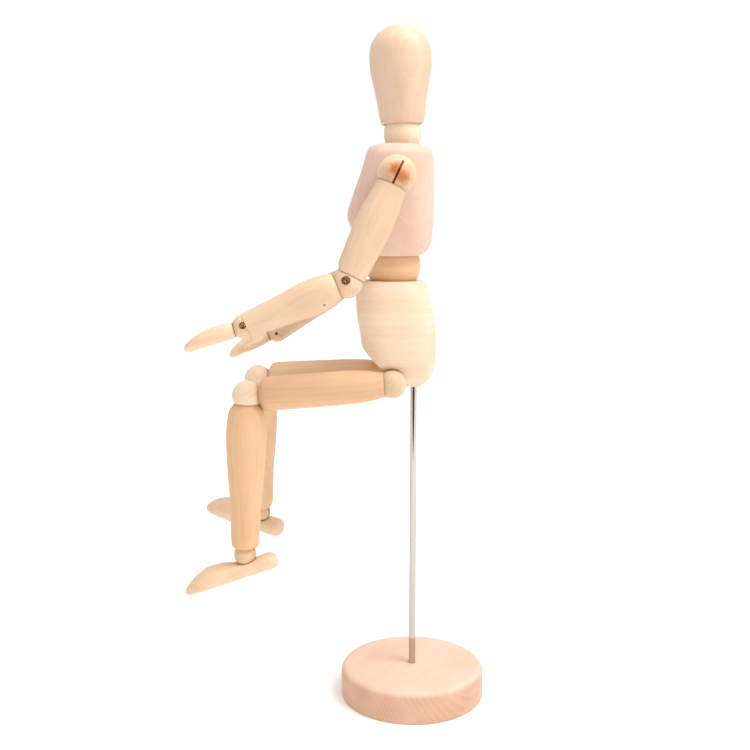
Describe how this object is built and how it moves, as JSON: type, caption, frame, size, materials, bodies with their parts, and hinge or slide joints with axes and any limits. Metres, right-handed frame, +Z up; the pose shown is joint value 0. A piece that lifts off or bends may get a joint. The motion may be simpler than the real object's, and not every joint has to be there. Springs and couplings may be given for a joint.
{
  "type": "artist mannequin",
  "caption": "Seated wooden artist mannequin with ball joints at neck, waist, shoulders, elbows, wrists, hips, knees and ankles, on a rod in a round wooden base.",
  "frame": {"origin": "centre of the base's flat underside, on the axis of the rod", "axes": "+Z up along the rod; the figure faces -X; its left side is towards -Y"},
  "size_m": [0.1867, 0.1378, 0.4128],
  "materials": {
    "pale_wood": "fine sanded pale hardwood, thin clear coat",
    "torso_wood": "fine sanded pale pinkish hardwood, nearly matt",
    "waist_wood": "fine sanded tan hardwood",
    "base_wood": "sanded pinkish hardwood, nearly matt",
    "rod_steel": "bright drawn steel rod",
    "pin_steel": "plain bright steel pin",
    "spring_steel": "zinc-plated spring wire",
    "rivet_bronze": "dark bronzed rivet"
  },
  "bodies": {
    "base": {"base": "base_wood"},
    "rod": {"rod": "rod_steel"},
    "pelvis": {"pelvis": "torso_wood", "hip_spring": "spring_steel"},
    "waist": {"waist": "waist_wood"},
    "waist_spring": {"waist_spring": "spring_steel"},
    "chest": {"chest": "torso_wood", "shoulder_spring": "spring_steel"},
    "neck": {"neck": "pale_wood"},
    "neck_spring": {"neck_spring": "spring_steel"},
    "head": {"head": "pale_wood", "head_pin": "pin_steel"},
    "left_shoulder": {"left_shoulder_ball": "pale_wood", "left_shoulder_pin": "pin_steel"},
    "left_upper_arm": {"left_upper_arm": "pale_wood", "left_upper_arm_spring": "spring_steel"},
    "left_elbow": {"left_elbow_ball": "pale_wood", "left_elbow_rivet": "rivet_bronze"},
    "left_forearm": {"left_forearm": "pale_wood", "left_forearm_spring": "spring_steel"},
    "left_wrist": {"left_wrist_ball": "pale_wood", "left_wrist_rivet": "rivet_bronze"},
    "left_hand": {"left_hand": "pale_wood", "left_hand_hook": "spring_steel"},
    "right_shoulder": {"right_shoulder_ball": "pale_wood", "right_shoulder_pin": "pin_steel"},
    "right_upper_arm": {"right_upper_arm": "pale_wood", "right_upper_arm_spring": "spring_steel"},
    "right_elbow": {"right_elbow_ball": "pale_wood", "right_elbow_rivet": "rivet_bronze"},
    "right_forearm": {"right_forearm": "pale_wood", "right_forearm_spring": "spring_steel"},
    "right_wrist": {"right_wrist_ball": "pale_wood", "right_wrist_rivet": "rivet_bronze"},
    "right_hand": {"right_hand": "pale_wood", "right_hand_hook": "spring_steel"},
    "left_hip": {"left_hip_ball": "pale_wood", "left_hip_pin": "pin_steel"},
    "left_thigh": {"left_thigh": "pale_wood", "left_thigh_spring": "spring_steel"},
    "left_knee": {"left_knee_ball": "pale_wood", "left_knee_pin": "pin_steel"},
    "left_shin": {"left_shin": "pale_wood", "left_shin_spring": "spring_steel"},
    "left_ankle": {"left_ankle_ball": "pale_wood", "left_ankle_pin": "pin_steel"},
    "left_foot": {"left_foot": "pale_wood", "left_foot_hook": "spring_steel"},
    "right_hip": {"right_hip_ball": "pale_wood", "right_hip_pin": "pin_steel"},
    "right_thigh": {"right_thigh": "pale_wood", "right_thigh_spring": "spring_steel"},
    "right_knee": {"right_knee_ball": "pale_wood", "right_knee_pin": "pin_steel"},
    "right_shin": {"right_shin": "pale_wood", "right_shin_spring": "spring_steel"},
    "right_ankle": {"right_ankle_ball": "pale_wood", "right_ankle_pin": "pin_steel"},
    "right_foot": {"right_foot": "pale_wood", "right_foot_hook": "spring_steel"}
  },
  "joints": [
    {"name": "stand_turn", "type": "hinge", "parent": "base", "child": "rod", "pos_m": [0, 0, 0.02], "axis": [0, 0, 1], "continuous": true},
    {"name": "pelvis_lift", "type": "slide", "parent": "rod", "child": "pelvis", "axis": [0, 0, 1], "range_m": [0, 0.018]},
    {"name": "waist_bend", "type": "hinge", "parent": "pelvis", "child": "waist", "pos_m": [-0.0126, 0, 0.2727], "axis": [0, -1, 0], "range_deg": [-20, 30], "deforming": ["waist_spring"]},
    {"name": "waist_tilt", "type": "hinge", "parent": "waist", "child": "waist_spring", "pos_m": [-0.0126, 0, 0.2727], "axis": [1, 0, 0], "range_deg": [-12, 12], "deforming": ["waist_spring"]},
    {"name": "waist_turn", "type": "hinge", "parent": "waist_spring", "child": "chest", "pos_m": [-0.0126, 0, 0.2727], "axis": [0, 0, 1], "range_deg": [-45, 45], "deforming": ["waist_spring"]},
    {"name": "neck_nod", "type": "hinge", "parent": "chest", "child": "neck", "pos_m": [-0.0074, 0, 0.3506], "axis": [0, -1, 0], "range_deg": [-20, 25], "deforming": ["neck_spring"]},
    {"name": "neck_tilt", "type": "hinge", "parent": "neck", "child": "neck_spring", "pos_m": [-0.0074, 0, 0.3506], "axis": [1, 0, 0], "range_deg": [-15, 15], "deforming": ["neck_spring"]},
    {"name": "head_turn", "type": "hinge", "parent": "neck_spring", "child": "head", "pos_m": [-0.0074, 0, 0.3506], "axis": [-0.0332, 0, 0.9995], "range_deg": [-80, 80], "deforming": ["neck_spring"]},
    {"name": "left_shoulder_swing", "type": "hinge", "parent": "chest", "child": "left_shoulder", "pos_m": [-0.0114, -0.04, 0.3247], "axis": [0, 1, 0], "range_deg": [-60, 140], "deforming": ["shoulder_spring"]},
    {"name": "left_arm_raise", "type": "hinge", "parent": "left_shoulder", "child": "left_upper_arm", "pos_m": [-0.0114, -0.04, 0.3247], "axis": [-0.9056, 0, 0.4242], "range_deg": [-7, 90]},
    {"name": "left_elbow_turn", "type": "hinge", "parent": "left_upper_arm", "child": "left_elbow", "pos_m": [-0.03929, -0.04924, 0.26515], "axis": [-0.4201, -0.1392, -0.8968], "range_deg": [-45, 45], "deforming": ["left_upper_arm_spring"]},
    {"name": "left_elbow_bend", "type": "hinge", "parent": "left_elbow", "child": "left_forearm", "pos_m": [-0.03929, -0.04924, 0.26515], "axis": [0.0518, 0.9829, -0.1768], "range_deg": [-42, 18]},
    {"name": "left_wrist_turn", "type": "hinge", "parent": "left_forearm", "child": "left_wrist", "pos_m": [-0.09664, -0.05064, 0.24061], "axis": [-0.9191, -0.0224, -0.3934], "range_deg": [-80, 80], "deforming": ["left_forearm_spring"]},
    {"name": "left_wrist_bend", "type": "hinge", "parent": "left_wrist", "child": "left_hand", "pos_m": [-0.09664, -0.05064, 0.24061], "axis": [0.0518, 0.9829, -0.1768], "range_deg": [-38, 22]},
    {"name": "right_shoulder_swing", "type": "hinge", "parent": "chest", "child": "right_shoulder", "pos_m": [-0.0114, 0.04, 0.3247], "axis": [0, 1, 0], "range_deg": [-60, 140], "deforming": ["shoulder_spring"]},
    {"name": "right_arm_raise", "type": "hinge", "parent": "right_shoulder", "child": "right_upper_arm", "pos_m": [-0.0114, 0.04, 0.3247], "axis": [0.9056, 0, -0.4242], "range_deg": [-7, 90]},
    {"name": "right_elbow_turn", "type": "hinge", "parent": "right_upper_arm", "child": "right_elbow", "pos_m": [-0.03929, 0.04924, 0.26515], "axis": [0.4201, -0.1392, 0.8968], "range_deg": [-45, 24], "deforming": ["right_upper_arm_spring"]},
    {"name": "right_elbow_bend", "type": "hinge", "parent": "right_elbow", "child": "right_forearm", "pos_m": [-0.03929, 0.04924, 0.26515], "axis": [-0.0043, 0.9879, 0.1553], "range_deg": [-27, 33]},
    {"name": "right_wrist_turn", "type": "hinge", "parent": "right_forearm", "child": "right_wrist", "pos_m": [-0.08862, 0.05497, 0.22737], "axis": [0.7906, -0.0918, 0.6055], "range_deg": [-80, 80], "deforming": ["right_forearm_spring"]},
    {"name": "right_wrist_bend", "type": "hinge", "parent": "right_wrist", "child": "right_hand", "pos_m": [-0.08862, 0.05497, 0.22737], "axis": [-0.0043, 0.9879, 0.1553], "range_deg": [-44, 16]},
    {"name": "left_hip_swing", "type": "hinge", "parent": "pelvis", "child": "left_hip", "pos_m": [-0.0135, -0.024, 0.2037], "axis": [0, 1, 0], "range_deg": [-105, 4], "deforming": ["hip_spring"]},
    {"name": "left_leg_raise", "type": "hinge", "parent": "left_hip", "child": "left_thigh", "pos_m": [-0.0135, -0.024, 0.2037], "axis": [-0.0767, 0, 0.9971], "range_deg": [-3, 40]},
    {"name": "left_knee_turn", "type": "hinge", "parent": "left_thigh", "child": "left_knee", "pos_m": [-0.09964, -0.024, 0.19707], "axis": [-0.9971, 0, -0.0767], "range_deg": [-25, 45], "deforming": ["left_thigh_spring"]},
    {"name": "left_knee_bend", "type": "hinge", "parent": "left_knee", "child": "left_shin", "pos_m": [-0.09964, -0.024, 0.19707], "axis": [0, 1, 0], "range_deg": [0, 84]},
    {"name": "left_ankle_turn", "type": "hinge", "parent": "left_shin", "child": "left_ankle", "pos_m": [-0.10236, -0.024, 0.09971], "axis": [-0.0279, 0, -0.9996], "range_deg": [-40, 40], "deforming": ["left_shin_spring"]},
    {"name": "left_ankle_bend", "type": "hinge", "parent": "left_ankle", "child": "left_foot", "pos_m": [-0.10236, -0.024, 0.09971], "axis": [0, 1, 0], "range_deg": [-25, 45]},
    {"name": "right_hip_swing", "type": "hinge", "parent": "pelvis", "child": "right_hip", "pos_m": [-0.0135, 0.024, 0.2037], "axis": [0, 1, 0], "range_deg": [-105, 4], "deforming": ["hip_spring"]},
    {"name": "right_leg_raise", "type": "hinge", "parent": "right_hip", "child": "right_thigh", "pos_m": [-0.0135, 0.024, 0.2037], "axis": [0.0576, 0, -0.9983], "range_deg": [-9, 34]},
    {"name": "right_knee_turn", "type": "hinge", "parent": "right_thigh", "child": "right_knee", "pos_m": [-0.09928, 0.03303, 0.19875], "axis": [-0.9929, 0.1045, -0.0572], "range_deg": [-30, 25], "deforming": ["right_thigh_spring"]},
    {"name": "right_knee_bend", "type": "hinge", "parent": "right_knee", "child": "right_shin", "pos_m": [-0.09928, 0.03303, 0.19875], "axis": [0.0887, 0.969, 0.2304], "range_deg": [0, 84]},
    {"name": "right_ankle_turn", "type": "hinge", "parent": "right_shin", "child": "right_ankle", "pos_m": [-0.10169, 0.05577, 0.10408], "axis": [0.0247, -0.2334, 0.9721], "range_deg": [-45, 20], "deforming": ["right_shin_spring"]},
    {"name": "right_ankle_bend", "type": "hinge", "parent": "right_ankle", "child": "right_foot", "pos_m": [-0.10169, 0.05577, 0.10408], "axis": [0.4081, 0.89, 0.2034], "range_deg": [-50, 20]}
  ]
}
